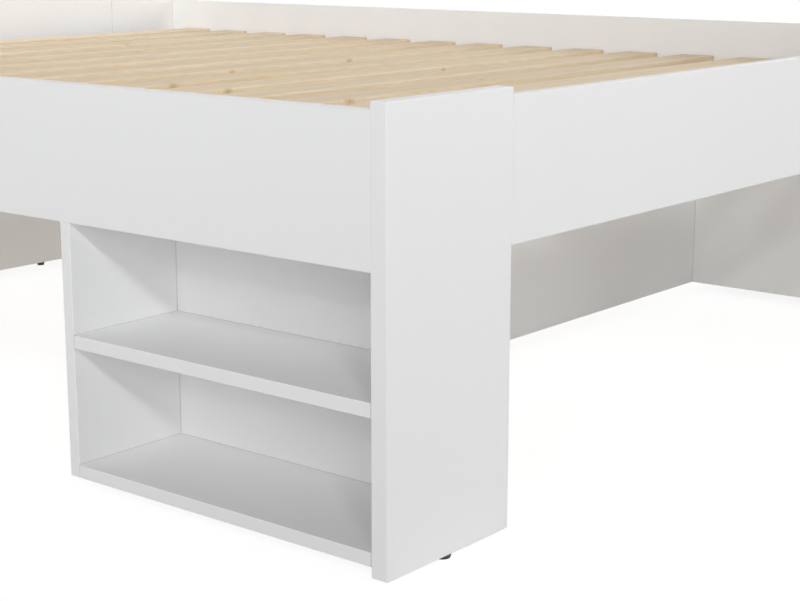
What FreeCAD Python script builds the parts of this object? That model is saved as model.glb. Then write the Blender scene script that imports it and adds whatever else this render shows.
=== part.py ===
import FreeCAD, Part
import Sketcher
import os
import re

# Bookcase headboard bed: white laminate boards, open shelf niches at its four corners and in the
# headboard, and a deck of pine slats between the rails.
# X runs across the bed, Y from the foot to the headboard, Z up. The origin is on the floor under the
# middle of the bed. Every size is in millimetres.

SIZES = {
    # mattress that the frame is made for, and the room left round it
    "mattress_width": 1600,
    "mattress_length": 2000,
    "width_play": 12,
    "length_play": 4,
    # boards
    "board_thickness": 16,
    "board_edge_radius": 0.8,
    # foot legs and the front side boards of the headboard
    "leg_thickness": 22,
    "leg_width": 210,
    "leg_height": 490,
    "leg_edge_radius": 1.6,
    # rails
    "rail_thickness": 16,
    "rail_height": 161,
    "rail_drop": 9,
    "rail_edge_radius": 1.2,
    # shelf niches beside the foot legs and the headboard
    "niche_width": 454,
    "niche_lift": 12,
    "shelf_depth": 166,
    "shelf_pitch": 159,
    # headboard
    "headboard_height": 1050,
    "headboard_depth": 280,
    "top_thickness": 22,
    "centre_panel_height": 330,
    "tower_shelf_count": 3,
    # slats and what carries them
    "slat_count": 16,
    "slat_width": 70,
    "slat_thickness": 18,
    "slat_recess": 66,
    "slat_head_gap": 59,
    "slat_foot_gap": 24,
    "slat_end_play": 2,
    "slat_edge_radius": 2,
    "ledge_width": 30,
    "ledge_height": 35,
    "beam_width": 40,
    "post_diameter": 32,
    "post_plate_size": 60,
    "post_plate_thickness": 3,
    # floor glides
    "glide_height": 5,
    "glide_diameter": 21,
    "pad_height": 6,
    "pad_diameter": 15.5,
    "glide_taper": 1.5,
    "glide_pin": 3,
    "glide_pin_length": 12,
    # wooden dowels
    "dowel_diameter": 8,
    "dowel_face_depth": 12,
    "dowel_edge_depth": 20,
    "dowel_end_play": 1,
    "dowel_inset": 32,
    "bore_play": 0.2,
    # long screws through one board into the end of the next
    "long_screw_length": 50,
    "long_screw_head": 10,
    "long_screw_head_height": 2.5,
    "long_screw_shank": 7,
    "long_screw_core": 5,
    # wood screws for the slats and ledges, and short ones for the steel brackets
    "wood_screw_length": 40,
    "wood_screw_head": 8,
    "wood_screw_head_height": 2.5,
    "wood_screw_shank": 4,
    "slat_screw_inset": 15,
    "ledge_screw_count": 6,
    "ledge_screw_inset": 80,
    "short_screw_length": 14,
    # steel brackets
    "steel_thickness": 2.5,
    "bracket_reach": 35,
    "bracket_height": 20,
    "bracket_screw_inset": 22,
    "tab_reach": 24,
    "tab_width": 12,
    "tab_screw_inset": 15,
    "joggle_reach": 40,
    "joggle_height": 60,
    "joggle_screw_inset": 25,
    "joggle_screw_rise": 16,
}

doc = FreeCAD.newDocument("bookcase_headboard_bed")
sheet = doc.addObject("Spreadsheet::Sheet", "dims")
for row, (alias, value) in enumerate(SIZES.items(), start=1):
    sheet.set("A%d" % row, alias)
    sheet.set("B%d" % row, str(value))
    sheet.setAlias("B%d" % row, alias)
doc.recompute()


# ---------------------------------------------------------------------------------------------
# Places that several pieces share, each a formula of the sizes above
# ---------------------------------------------------------------------------------------------

INNER_WIDTH = "(mattress_width + width_play)"
INNER_LENGTH = "(mattress_length + length_play)"
HALF_WIDTH = "(%s / 2 + rail_thickness)" % INNER_WIDTH

FOOT_FACE = "(-(leg_thickness + %s + headboard_depth) / 2)" % INNER_LENGTH
LEG_INNER_FACE = "(%s + leg_thickness)" % FOOT_FACE
HEAD_FACE = "(%s + %s)" % (LEG_INNER_FACE, INNER_LENGTH)
FOOT_RAIL_INNER_FACE = "(%s + rail_thickness)" % FOOT_FACE
FOOT_CROSS_FACE = "(%s + niche_width)" % LEG_INNER_FACE
HEAD_CROSS_FACE = "(%s - niche_width - board_thickness)" % HEAD_FACE

RAIL_TOP = "(glide_height + leg_height - rail_drop)"
RAIL_BOTTOM = "(%s - rail_height)" % RAIL_TOP
NICHE_BOTTOM = "(glide_height + niche_lift)"
NICHE_TOP = "(%s + board_thickness)" % RAIL_BOTTOM
SLAT_BOTTOM = "(%s - slat_recess - slat_thickness)" % RAIL_TOP
LEDGE_BOTTOM = "(%s - ledge_height)" % SLAT_BOTTOM
BOX_TOP = "(glide_height + headboard_height - top_thickness)"
CENTRE_SHELF_BOTTOM = "(%s + centre_panel_height)" % RAIL_BOTTOM
CENTRE_SHELF_TOP = "(%s + board_thickness)" % CENTRE_SHELF_BOTTOM

NICHE_DEPTH = "(shelf_depth + board_thickness)"
CENTRE_HALF = "(%s - leg_width)" % HALF_WIDTH
TOWER_FACE = "(%s + leg_thickness)" % HEAD_FACE
TOWER_DEPTH = "(headboard_depth - leg_thickness - board_thickness)"
TOWER_SHELF_WIDTH = "(leg_width - board_thickness)"
TOWER_PITCH = "((%s - %s) / tower_shelf_count)" % (BOX_TOP, NICHE_BOTTOM)
BACK_FACE = "(%s + headboard_depth - board_thickness)" % HEAD_FACE
SLAT_PITCH = "((%s - slat_head_gap - slat_foot_gap - slat_width) / (slat_count - 1))" % INNER_LENGTH

SIDES = {"left": -1, "right": 1}
ENDS = ("foot", "head")


# ---------------------------------------------------------------------------------------------
# Ways of making and joining the pieces
# ---------------------------------------------------------------------------------------------

TURNS = {
    "+x": FreeCAD.Rotation(FreeCAD.Vector(0, 1, 0), 90),
    "-x": FreeCAD.Rotation(FreeCAD.Vector(0, 1, 0), -90),
    "+y": FreeCAD.Rotation(FreeCAD.Vector(1, 0, 0), -90),
    "-y": FreeCAD.Rotation(FreeCAD.Vector(1, 0, 0), 90),
    "+z": FreeCAD.Rotation(),
    "-z": FreeCAD.Rotation(FreeCAD.Vector(1, 0, 0), 180),
}
OPPOSITE = {"+x": "-x", "-x": "+x", "+y": "-y", "-y": "+y", "+z": "-z", "-z": "+z"}

blanks = {}
bores = {}
groups = {"dowels": [], "long_screws": [], "wood_screws": [], "steel_brackets": [], "floor_glides": []}


def bound(formula):
    """Return a formula of size names as an expression on the sheet."""
    return re.sub(r"[a-z]+(_[a-z]+)+", lambda name: "dims." + name.group(0), formula)


def put(shape, point, turn="+z"):
    """Place an object at a point given by three formulas, with its own Z axis along turn."""
    shape.Placement = FreeCAD.Placement(FreeCAD.Vector(), TURNS[turn])
    for axis, formula in zip("xyz", point):
        shape.setExpression("Placement.Base." + axis, bound(formula))


def shifted(point, axis, amount):
    """Return the point moved along an axis, such as -y, by an amount given as a formula."""
    moved = list(point)
    place = "xyz".index(axis[1])
    moved[place] = "%s %s (%s)" % (moved[place], axis[0], amount)
    return tuple(moved)


def from_side(side, inset, width):
    """Return X of the low corner of a board whose outer edge is inset from that side of the bed."""
    if side == "left":
        return "-%s + %s" % (HALF_WIDTH, inset)
    return "%s - %s - %s" % (HALF_WIDTH, inset, width)


def line_from_side(side, inset):
    """Return X of a line that lies inset from that side of the bed."""
    if side == "left":
        return "-%s + %s" % (HALF_WIDTH, inset)
    return "%s - %s" % (HALF_WIDTH, inset)


def block(name, size, corner):
    """Return a box with three sizes and its low corner, all given as formulas."""
    box = doc.addObject("Part::Box", name)
    for side, formula in zip(("Length", "Width", "Height"), size):
        box.setExpression(side, bound(formula))
    put(box, corner)
    return box


def rod(name, diameter, length, start, axis):
    """Return a round bar or bore that starts at a point and runs along an axis."""
    cylinder = doc.addObject("Part::Cylinder", name)
    cylinder.setExpression("Radius", bound("(%s) / 2" % diameter))
    cylinder.setExpression("Height", bound(length))
    put(cylinder, start, axis)
    return cylinder


def soften(base, radius_name, wanted=lambda edge: True):
    """Round the straight edges of a board that wanted accepts."""
    base.recompute()
    radius = float(sheet.get(radius_name))
    rounded = doc.addObject("Part::Fillet", base.Name + "_rounded")
    rounded.Base = base
    edges = enumerate(base.Shape.Edges, start=1)
    rounded.Edges = [(number, radius, radius) for number, edge in edges if wanted(edge)]
    return rounded


def along(axis):
    """Return a test that accepts the edges that run along an axis."""
    def runs(edge):
        direction = edge.tangentAt(edge.FirstParameter)
        return abs(getattr(direction, axis)) > 0.99
    return runs


def at_outer_side(edge):
    """Accept the edges on the long outer side of a left or right board, along the bed."""
    box = edge.BoundBox
    half_width = float(sheet.get("mattress_width") + sheet.get("width_play")) / 2
    half_width = half_width + float(sheet.get("rail_thickness"))
    return abs(abs(box.XMin) - half_width) < 0.01 and abs(abs(box.XMax) - half_width) < 0.01


def board(name, size, corner, radius_name=None, wanted=lambda edge: True):
    """Make a board: a box, with rounded edges where a radius is named."""
    blank = block(name + "_blank", size, corner)
    if radius_name:
        blank = soften(blank, radius_name, wanted)
    blanks[name] = blank
    bores[name] = []


def outline(body, points, plane):
    """Draw a closed outline in a body's origin plane, with each corner tied to two formulas."""
    sketch = body.newObject("Sketcher::SketchObject", body.Name + "_outline")
    planes = [item for item in body.Origin.OriginFeatures if item.Role == plane]
    sketch.AttachmentSupport = [(planes[0], "")]
    sketch.MapMode = "FlatFace"
    values = [(number_of(across), number_of(up)) for across, up in points]
    corners = [FreeCAD.Vector(across, up, 0) for across, up in values]
    count = len(corners)
    for index in range(count):
        sketch.addGeometry(Part.LineSegment(corners[index], corners[(index + 1) % count]), False)
    for index in range(count):
        sketch.addConstraint(Sketcher.Constraint("Coincident", index, 2, (index + 1) % count, 1))
    for index, (across, up) in enumerate(points):
        for kind, formula, value in zip(("DistanceX", "DistanceY"), (across, up), values[index]):
            constraint = sketch.addConstraint(Sketcher.Constraint(kind, -1, 1, index, 1, value))
            sketch.setExpression("Constraints[%d]" % constraint, bound(formula))
    return sketch


def number_of(formula):
    """Return the present value of a formula of size names."""
    return float(sheet.evalExpression(formula))


def padded(name, points, plane, length):
    """Return a body: an outline in a plane, made solid to a length."""
    body = doc.addObject("PartDesign::Body", name)
    sketch = outline(body, points, plane)
    pad = body.newObject("PartDesign::Pad", name + "_pad")
    pad.Profile = sketch
    pad.setExpression("Length", bound(length))
    return body


def drill(name, diameter, depth, start, axis):
    """Add a bore to a board."""
    hole = rod("%s_bore_%d" % (name, len(bores[name]) + 1), diameter, depth, start, axis)
    bores[name].append(hole)


def dowel(face_board, edge_board, point, axis):
    """Join two boards with a dowel: axis runs from the face of the first into the edge of the second."""
    drill(face_board, "dowel_diameter + bore_play", "dowel_face_depth", point, OPPOSITE[axis])
    drill(edge_board, "dowel_diameter + bore_play", "dowel_edge_depth", point, axis)
    start = shifted(point, OPPOSITE[axis], "dowel_face_depth - dowel_end_play")
    length = "dowel_face_depth + dowel_edge_depth - 2 * dowel_end_play"
    number = len(groups["dowels"]) + 1
    groups["dowels"].append(rod("dowel_%d" % number, "dowel_diameter", length, start, axis))


def long_screw(outer_board, inner_board, point, axis):
    """Screw through the outer board, sunk flush, into the end of the inner board."""
    head_face = shifted(point, OPPOSITE[axis], "board_thickness")
    drill(outer_board, "long_screw_head + bore_play", "long_screw_head_height", head_face, axis)
    drill(outer_board, "long_screw_shank + bore_play", "board_thickness", head_face, axis)
    depth = "long_screw_length - board_thickness + dowel_end_play"
    drill(inner_board, "long_screw_core + bore_play", depth, point, axis)
    number = len(groups["long_screws"]) + 1
    name = "long_screw_%d" % number
    head = rod(name + "_head", "long_screw_head", "long_screw_head_height", head_face, axis)
    shank = rod(name + "_shank", "long_screw_shank", "board_thickness", head_face, axis)
    core = rod(name + "_core", "long_screw_core", "long_screw_length", head_face, axis)
    groups["long_screws"].append(fused(name, [head, shank, core]))


def wood_screw(outer_board, inner_board, head_face, axis, thickness):
    """Screw through a piece of that thickness, with the head sunk flush, into the piece behind."""
    drill(outer_board, "wood_screw_head + bore_play", "wood_screw_head_height", head_face, axis)
    drill(outer_board, "wood_screw_shank + bore_play", thickness, head_face, axis)
    depth = "wood_screw_length - %s + dowel_end_play" % thickness
    meeting_point = shifted(head_face, axis, thickness)
    drill(inner_board, "wood_screw_shank + bore_play", depth, meeting_point, axis)
    number = len(groups["wood_screws"]) + 1
    name = "wood_screw_%d" % number
    head = rod(name + "_head", "wood_screw_head", "wood_screw_head_height", head_face, axis)
    shank = rod(name + "_shank", "wood_screw_shank", "wood_screw_length", head_face, axis)
    groups["wood_screws"].append(fused(name, [head, shank]))


def short_screw(board_name, plate_face, axis):
    """Screw a steel plate to a board, with the head standing on the plate, and return the plate's bore."""
    hole_start = shifted(plate_face, axis, "steel_thickness")
    depth = "short_screw_length - steel_thickness + dowel_end_play"
    drill(board_name, "wood_screw_shank + bore_play", depth, hole_start, axis)
    number = len(groups["wood_screws"]) + 1
    name = "wood_screw_%d" % number
    head_start = shifted(plate_face, OPPOSITE[axis], "wood_screw_head_height")
    head = rod(name + "_head", "wood_screw_head", "wood_screw_head_height", head_start, axis)
    shank = rod(name + "_shank", "wood_screw_shank", "short_screw_length", plate_face, axis)
    groups["wood_screws"].append(fused(name, [head, shank]))
    return rod(name + "_plate_bore", "wood_screw_shank + bore_play", "steel_thickness", plate_face, axis)


def fused(name, shapes):
    """Return several shapes joined in one solid."""
    whole = doc.addObject("Part::MultiFuse", name)
    whole.Shapes = shapes
    whole.Refine = True
    return whole


def cut_from(name, base, tools):
    """Return the base with a list of bores taken out of it."""
    compound = doc.addObject("Part::Compound", name + "_bores")
    compound.Links = tools
    remainder = doc.addObject("Part::Cut", name)
    remainder.Base = base
    remainder.Tool = compound
    return remainder


def plate_start(point, direction, reach):
    """Return the low end of a plate that reaches from a point in a direction along one axis."""
    if direction > 0:
        return point
    return "%s - %s" % (point, reach)


def corner_bracket(along_board, across_board, corner, direction_x, direction_y):
    """Make an upright steel angle in a corner: one leaf runs along Y, the other along X."""
    x, y, z = corner
    number = len(groups["steel_brackets"]) + 1
    name = "steel_bracket_%d" % number
    leaf_x = plate_start(x, direction_x, "steel_thickness")
    leaf_y = plate_start(y, direction_y, "bracket_reach")
    along_leaf = block(name + "_along", ("steel_thickness", "bracket_reach", "bracket_height"),
                       (leaf_x, leaf_y, z))
    leaf_x = plate_start(x, direction_x, "bracket_reach")
    leaf_y = plate_start(y, direction_y, "steel_thickness")
    across_leaf = block(name + "_across", ("bracket_reach", "steel_thickness", "bracket_height"),
                        (leaf_x, leaf_y, z))
    middle = "%s + bracket_height / 2" % z
    sign_x = "+-"[direction_x < 0]
    sign_y = "+-"[direction_y < 0]
    along_point = ("%s %s steel_thickness" % (x, sign_x), "%s %s bracket_screw_inset" % (y, sign_y), middle)
    across_point = ("%s %s bracket_screw_inset" % (x, sign_x), "%s %s steel_thickness" % (y, sign_y), middle)
    holes = [
        short_screw(along_board, along_point, "-+"[direction_x < 0] + "x"),
        short_screw(across_board, across_point, "-+"[direction_y < 0] + "y"),
    ]
    angle = fused(name + "_angle", [along_leaf, across_leaf])
    groups["steel_brackets"].append(cut_from(name, angle, holes))


def cross_panel_tab(rail, cross_panel, side, cross_face):
    """Make a steel angle that ties a cross panel's top edge to the inside of a side rail."""
    direction = -SIDES[side]
    x = line_from_side(side, "rail_thickness")
    y = "%s + (board_thickness - tab_width) / 2" % cross_face
    name = "steel_bracket_%d" % (len(groups["steel_brackets"]) + 1)
    upright = block(name + "_upright", ("steel_thickness", "tab_width", "tab_reach"),
                    (plate_start(x, direction, "steel_thickness"), y, NICHE_TOP))
    flat = block(name + "_flat", ("bracket_reach", "tab_width", "steel_thickness"),
                 (plate_start(x, direction, "bracket_reach"), y, NICHE_TOP))
    sign = "+-"[direction < 0]
    middle = "%s + board_thickness / 2" % cross_face
    upright_point = ("%s %s steel_thickness" % (x, sign), middle, "%s + tab_screw_inset" % NICHE_TOP)
    flat_point = ("%s %s bracket_screw_inset" % (x, sign), middle, "%s + steel_thickness" % NICHE_TOP)
    holes = [
        short_screw(rail, upright_point, "-+"[direction < 0] + "x"),
        short_screw(cross_panel, flat_point, "-z"),
    ]
    angle = fused(name + "_angle", [upright, flat])
    groups["steel_brackets"].append(cut_from(name, angle, holes))


def joggled_plate(side):
    """Make the stepped steel plate that holds the foot rail to the thicker leg beside it."""
    direction = -SIDES[side]
    name = "steel_bracket_%d" % (len(groups["steel_brackets"]) + 1)
    seam = line_from_side(side, "leg_width")
    sign, back_sign = ("+", "-") if direction > 0 else ("-", "+")
    rail_end = "%s %s joggle_reach" % (seam, sign)
    leg_end = "%s %s joggle_reach" % (seam, back_sign)
    step_out = "%s %s steel_thickness" % (seam, sign)
    points = [
        (rail_end, FOOT_RAIL_INNER_FACE),
        (seam, FOOT_RAIL_INNER_FACE),
        (seam, LEG_INNER_FACE),
        (leg_end, LEG_INNER_FACE),
        (leg_end, LEG_INNER_FACE + " + steel_thickness"),
        (step_out, LEG_INNER_FACE + " + steel_thickness"),
        (step_out, FOOT_RAIL_INNER_FACE + " + steel_thickness"),
        (rail_end, FOOT_RAIL_INNER_FACE + " + steel_thickness"),
    ]
    plate = padded(name + "_plate", points, "XY_Plane", "joggle_height")
    low = "%s + (rail_height - joggle_height) / 2" % RAIL_BOTTOM
    put(plate, ("0", "0", low))
    holes = []
    for rise in ("joggle_screw_rise", "joggle_height - joggle_screw_rise"):
        height = "%s + %s" % (low, rise)
        rail_point = ("%s %s joggle_screw_inset" % (seam, sign),
                      FOOT_RAIL_INNER_FACE + " + steel_thickness", height)
        leg_point = ("%s %s joggle_screw_inset" % (seam, back_sign),
                     LEG_INNER_FACE + " + steel_thickness", height)
        holes.append(short_screw("foot_rail", rail_point, "-y"))
        holes.append(short_screw("foot_leg_panel_" + side, leg_point, "-y"))
    groups["steel_brackets"].append(cut_from(name, plate, holes))


def floor_glide(carrier, x, y, z, diameter, height):
    """Make a plastic glide under a board: a tapered sole with a pin that is driven into the board."""
    name = "floor_glide_%d" % (len(groups["floor_glides"]) + 1)
    sole = doc.addObject("Part::Cone", name + "_sole")
    sole.setExpression("Radius1", bound("(%s) / 2 - glide_taper" % diameter))
    sole.setExpression("Radius2", bound("(%s) / 2" % diameter))
    sole.setExpression("Height", bound(height))
    foot = (x, y, "%s - %s" % (z, height))
    put(sole, foot)
    pin = rod(name + "_pin", "glide_pin", "%s + glide_pin_length" % height, foot, "+z")
    groups["floor_glides"].append(fused(name, [sole, pin]))
    drill(carrier, "glide_pin + bore_play", "glide_pin_length + dowel_end_play", (x, y, z), "+z")


# ---------------------------------------------------------------------------------------------
# Foot end: two leg boards with the foot rail between them, outer faces flush
# ---------------------------------------------------------------------------------------------

for side in SIDES:
    board("foot_leg_panel_" + side,
          ("leg_width", "leg_thickness", "leg_height"),
          (from_side(side, "0", "leg_width"), FOOT_FACE, "glide_height"),
          "leg_edge_radius")

board("foot_rail",
      ("2 * " + CENTRE_HALF, "rail_thickness", "rail_height"),
      ("-" + CENTRE_HALF, FOOT_FACE, RAIL_BOTTOM),
      "rail_edge_radius")

# ---------------------------------------------------------------------------------------------
# Side rails, from the foot legs to the headboard, flush with the legs' outer edges
# ---------------------------------------------------------------------------------------------

for side in SIDES:
    board("side_rail_" + side,
          ("rail_thickness", INNER_LENGTH, "rail_height"),
          (from_side(side, "0", "rail_thickness"), LEG_INNER_FACE, RAIL_BOTTOM),
          "rail_edge_radius")

# ---------------------------------------------------------------------------------------------
# Cross panels over the whole width: their shoulders carry the side rails, their tops the beam
# ---------------------------------------------------------------------------------------------

for end, face in zip(ENDS, (FOOT_CROSS_FACE, HEAD_CROSS_FACE)):
    name = end + "_cross_panel"
    inner = "(%s / 2)" % INNER_WIDTH
    corners = [
        ("-" + HALF_WIDTH, NICHE_BOTTOM),
        (HALF_WIDTH, NICHE_BOTTOM),
        (HALF_WIDTH, RAIL_BOTTOM),
        (inner, RAIL_BOTTOM),
        (inner, NICHE_TOP),
        ("-" + inner, NICHE_TOP),
        ("-" + inner, RAIL_BOTTOM),
        ("-" + HALF_WIDTH, RAIL_BOTTOM),
    ]
    panel = padded(name + "_blank", corners, "XZ_Plane", "board_thickness")
    put(panel, ("0", "%s + board_thickness" % face, "0"))
    doc.recompute()
    blanks[name] = soften(panel, "board_edge_radius", at_outer_side)
    bores[name] = []

# ---------------------------------------------------------------------------------------------
# Shelf niches: bottom board, middle shelf, top board and back board between a leg and a cross panel
# ---------------------------------------------------------------------------------------------

for end, low_face, leg_name, leg_face, axis, cross_face in (
        ("foot", LEG_INNER_FACE, "foot_leg_panel_", LEG_INNER_FACE, "+y", FOOT_CROSS_FACE),
        ("head", "(%s - niche_width)" % HEAD_FACE, "headboard_front_panel_", HEAD_FACE, "-y",
         "(%s + board_thickness)" % HEAD_CROSS_FACE)):
    for side in SIDES:
        tail = "_" + side
        shelf_corner = from_side(side, "0", "shelf_depth")
        board(end + "_niche_bottom" + tail,
              ("shelf_depth", "niche_width", "board_thickness"),
              (shelf_corner, low_face, NICHE_BOTTOM),
              "board_edge_radius", at_outer_side)
        board(end + "_niche_shelf" + tail,
              ("shelf_depth", "niche_width", "board_thickness"),
              (shelf_corner, low_face, NICHE_BOTTOM + " + shelf_pitch"),
              "board_edge_radius", at_outer_side)
        board(end + "_niche_back" + tail,
              ("board_thickness", "niche_width", "%s - %s" % (RAIL_BOTTOM, NICHE_BOTTOM)),
              (from_side(side, "shelf_depth", "board_thickness"), low_face, NICHE_BOTTOM))
        board(end + "_niche_top" + tail,
              ("%s - rail_thickness" % NICHE_DEPTH, "niche_width", "board_thickness"),
              (from_side(side, "rail_thickness", "(%s - rail_thickness)" % NICHE_DEPTH),
               low_face, RAIL_BOTTOM))

# ---------------------------------------------------------------------------------------------
# Headboard: a shelf tower at each side, a closed panel behind the mattress, open compartments above
# ---------------------------------------------------------------------------------------------

for side in SIDES:
    tail = "_" + side
    board("headboard_front_panel" + tail,
          ("leg_width", "leg_thickness", "%s - glide_height" % BOX_TOP),
          (from_side(side, "0", "leg_width"), HEAD_FACE, "glide_height"),
          "leg_edge_radius", along("z"))
    board("headboard_inner_side" + tail,
          ("board_thickness", TOWER_DEPTH, "%s - %s" % (BOX_TOP, NICHE_BOTTOM)),
          (from_side(side, TOWER_SHELF_WIDTH, "board_thickness"), TOWER_FACE, NICHE_BOTTOM))
    for level in range(int(SIZES["tower_shelf_count"])):
        board("tower_shelf_%d%s" % (level + 1, tail),
              (TOWER_SHELF_WIDTH, TOWER_DEPTH, "board_thickness"),
              (from_side(side, "0", TOWER_SHELF_WIDTH), TOWER_FACE,
               "%s + %d * %s" % (NICHE_BOTTOM, level, TOWER_PITCH)),
              "board_edge_radius", at_outer_side)

board("headboard_centre_panel",
      ("2 * " + CENTRE_HALF, "leg_thickness", "centre_panel_height"),
      ("-" + CENTRE_HALF, HEAD_FACE, RAIL_BOTTOM),
      "leg_edge_radius", along("z"))

board("headboard_centre_shelf",
      ("2 * " + CENTRE_HALF, "headboard_depth - board_thickness", "board_thickness"),
      ("-" + CENTRE_HALF, HEAD_FACE, CENTRE_SHELF_BOTTOM),
      "board_edge_radius", lambda edge: along("x")(edge) and edge.BoundBox.YMax < doc.getObject(
          "headboard_centre_shelf_blank").Shape.BoundBox.Center.y)

board("headboard_centre_divider",
      ("board_thickness", "headboard_depth - board_thickness", "%s - %s" % (BOX_TOP, CENTRE_SHELF_TOP)),
      ("-board_thickness / 2", HEAD_FACE, CENTRE_SHELF_TOP),
      "board_edge_radius", lambda edge: along("z")(edge) and edge.BoundBox.YMax < doc.getObject(
          "headboard_centre_divider_blank").Shape.BoundBox.Center.y)

board("headboard_back_panel",
      ("2 * " + HALF_WIDTH, "board_thickness", "%s - glide_height" % BOX_TOP),
      ("-" + HALF_WIDTH, BACK_FACE, "glide_height"),
      "board_edge_radius", along("z"))

board("headboard_top",
      ("2 * " + HALF_WIDTH, "headboard_depth", "top_thickness"),
      ("-" + HALF_WIDTH, HEAD_FACE, BOX_TOP),
      "leg_edge_radius")

# ---------------------------------------------------------------------------------------------
# Slat deck: ledges on the side rails, a beam down the middle on a steel post, and the pine slats
# ---------------------------------------------------------------------------------------------

for side in SIDES:
    board("slat_ledge_" + side,
          ("ledge_width", INNER_LENGTH, "ledge_height"),
          (from_side(side, "rail_thickness", "ledge_width"), LEG_INNER_FACE, LEDGE_BOTTOM),
          "slat_edge_radius", along("y"))

board("centre_beam",
      ("beam_width", "%s - %s" % (HEAD_FACE, FOOT_RAIL_INNER_FACE), "%s - %s" % (SLAT_BOTTOM, NICHE_TOP)),
      ("-beam_width / 2", FOOT_RAIL_INNER_FACE, NICHE_TOP),
      "slat_edge_radius", along("y"))

POST_Y = "((%s + board_thickness + %s) / 2)" % (FOOT_CROSS_FACE, HEAD_CROSS_FACE)
post_tube = rod("centre_post_tube", "post_diameter", "%s - glide_height" % NICHE_TOP,
                ("0", POST_Y, "glide_height"), "+z")
post_plate = block("centre_post_plate", ("beam_width", "post_plate_size", "post_plate_thickness"),
                   ("-beam_width / 2", "%s - post_plate_size / 2" % POST_Y,
                    "%s - post_plate_thickness" % NICHE_TOP))
blanks["centre_post"] = fused("centre_post_blank", [post_tube, post_plate])
bores["centre_post"] = []

SLATS = int(SIZES["slat_count"])
for index in range(SLATS):
    board("slat_%02d" % (index + 1),
          ("%s - 2 * slat_end_play" % INNER_WIDTH, "slat_width", "slat_thickness"),
          ("-%s / 2 + slat_end_play" % INNER_WIDTH,
           "%s + slat_foot_gap + %d * %s" % (LEG_INNER_FACE, index, SLAT_PITCH), SLAT_BOTTOM),
          "slat_edge_radius", along("x"))

# ---------------------------------------------------------------------------------------------
# Joints: dowels and long screws between the boards
# ---------------------------------------------------------------------------------------------

RAIL_DOWEL_HEIGHTS = (RAIL_BOTTOM + " + dowel_inset", RAIL_TOP + " - dowel_inset")
BACK_DOWEL_HEIGHTS = (NICHE_BOTTOM + " + dowel_inset", RAIL_BOTTOM + " - dowel_inset")
INWARD = {"left": "+x", "right": "-x"}

for side in SIDES:
    leg = "foot_leg_panel_" + side
    front = "headboard_front_panel_" + side
    rail = "side_rail_" + side
    inner_side = "headboard_inner_side_" + side
    inward = INWARD[side]
    seam = line_from_side(side, "leg_width")
    rail_line = line_from_side(side, "rail_thickness / 2")
    for height in RAIL_DOWEL_HEIGHTS:
        dowel(leg, "foot_rail", (seam, FOOT_FACE + " + rail_thickness / 2", height), inward)
        dowel(leg, rail, (rail_line, LEG_INNER_FACE, height), "+y")
        dowel(front, rail, (rail_line, HEAD_FACE, height), "-y")

    for end, thick_board, thick_face, into, cross_face in (
            ("foot", leg, LEG_INNER_FACE, "+y", FOOT_CROSS_FACE),
            ("head", front, HEAD_FACE, "-y", "(%s + board_thickness)" % HEAD_CROSS_FACE)):
        cross_panel = end + "_cross_panel"
        points = []
        for inset in ("dowel_inset", "(shelf_depth - dowel_inset)"):
            line = line_from_side(side, inset)
            points.append((end + "_niche_bottom_" + side, line, NICHE_BOTTOM + " + board_thickness / 2"))
            points.append((end + "_niche_shelf_" + side, line,
                           NICHE_BOTTOM + " + shelf_pitch + board_thickness / 2"))
        for inset in ("(rail_thickness + dowel_inset)", "(%s - dowel_inset)" % NICHE_DEPTH):
            line = line_from_side(side, inset)
            points.append((end + "_niche_top_" + side, line, RAIL_BOTTOM + " + board_thickness / 2"))
        for height in BACK_DOWEL_HEIGHTS:
            line = line_from_side(side, "(shelf_depth + board_thickness / 2)")
            points.append((end + "_niche_back_" + side, line, height))
        for niche_board, line, height in points:
            dowel(thick_board, niche_board, (line, thick_face, height), into)
            long_screw(cross_panel, niche_board, (line, cross_face, height), OPPOSITE[into])

    tower_insets = ("dowel_inset", "(%s - dowel_inset)" % TOWER_SHELF_WIDTH)
    tower_lines = [line_from_side(side, inset) for inset in tower_insets]
    for level in range(int(SIZES["tower_shelf_count"])):
        shelf = "tower_shelf_%d_%s" % (level + 1, side)
        height = "%s + %d * %s + board_thickness / 2" % (NICHE_BOTTOM, level, TOWER_PITCH)
        for line in tower_lines:
            dowel(front, shelf, (line, TOWER_FACE, height), "+y")
            long_screw("headboard_back_panel", shelf, (line, BACK_FACE, height), "-y")
    side_line = line_from_side(side, "(leg_width - board_thickness / 2)")
    middle = "(%s + %s) / 2" % (RAIL_BOTTOM, CENTRE_SHELF_BOTTOM)
    for height in (NICHE_BOTTOM + " + dowel_inset", middle, BOX_TOP + " - dowel_inset"):
        dowel(front, inner_side, (side_line, TOWER_FACE, height), "+y")
        long_screw("headboard_back_panel", inner_side, (side_line, BACK_FACE, height), "-y")
    for height in (RAIL_BOTTOM + " + dowel_inset", CENTRE_SHELF_BOTTOM + " - dowel_inset"):
        dowel(front, "headboard_centre_panel", (seam, HEAD_FACE + " + leg_thickness / 2", height), inward)
    for depth in (TOWER_FACE + " + dowel_inset", BACK_FACE + " - dowel_inset"):
        dowel(inner_side, "headboard_centre_shelf",
              (seam, depth, CENTRE_SHELF_BOTTOM + " + board_thickness / 2"), inward)
        dowel("headboard_top", inner_side, (side_line, depth, BOX_TOP), "-z")
    dowel("headboard_top", front,
          (line_from_side(side, "leg_width / 2"), HEAD_FACE + " + leg_thickness / 2", BOX_TOP), "-z")
    dowel("headboard_top", "headboard_back_panel",
          (line_from_side(side, "leg_width / 2"), BACK_FACE + " + board_thickness / 2", BOX_TOP), "-z")
    long_screw("headboard_back_panel", "headboard_centre_shelf",
               (line_from_side(side, "(2 * leg_width)"), BACK_FACE,
                CENTRE_SHELF_BOTTOM + " + board_thickness / 2"), "-y")

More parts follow.
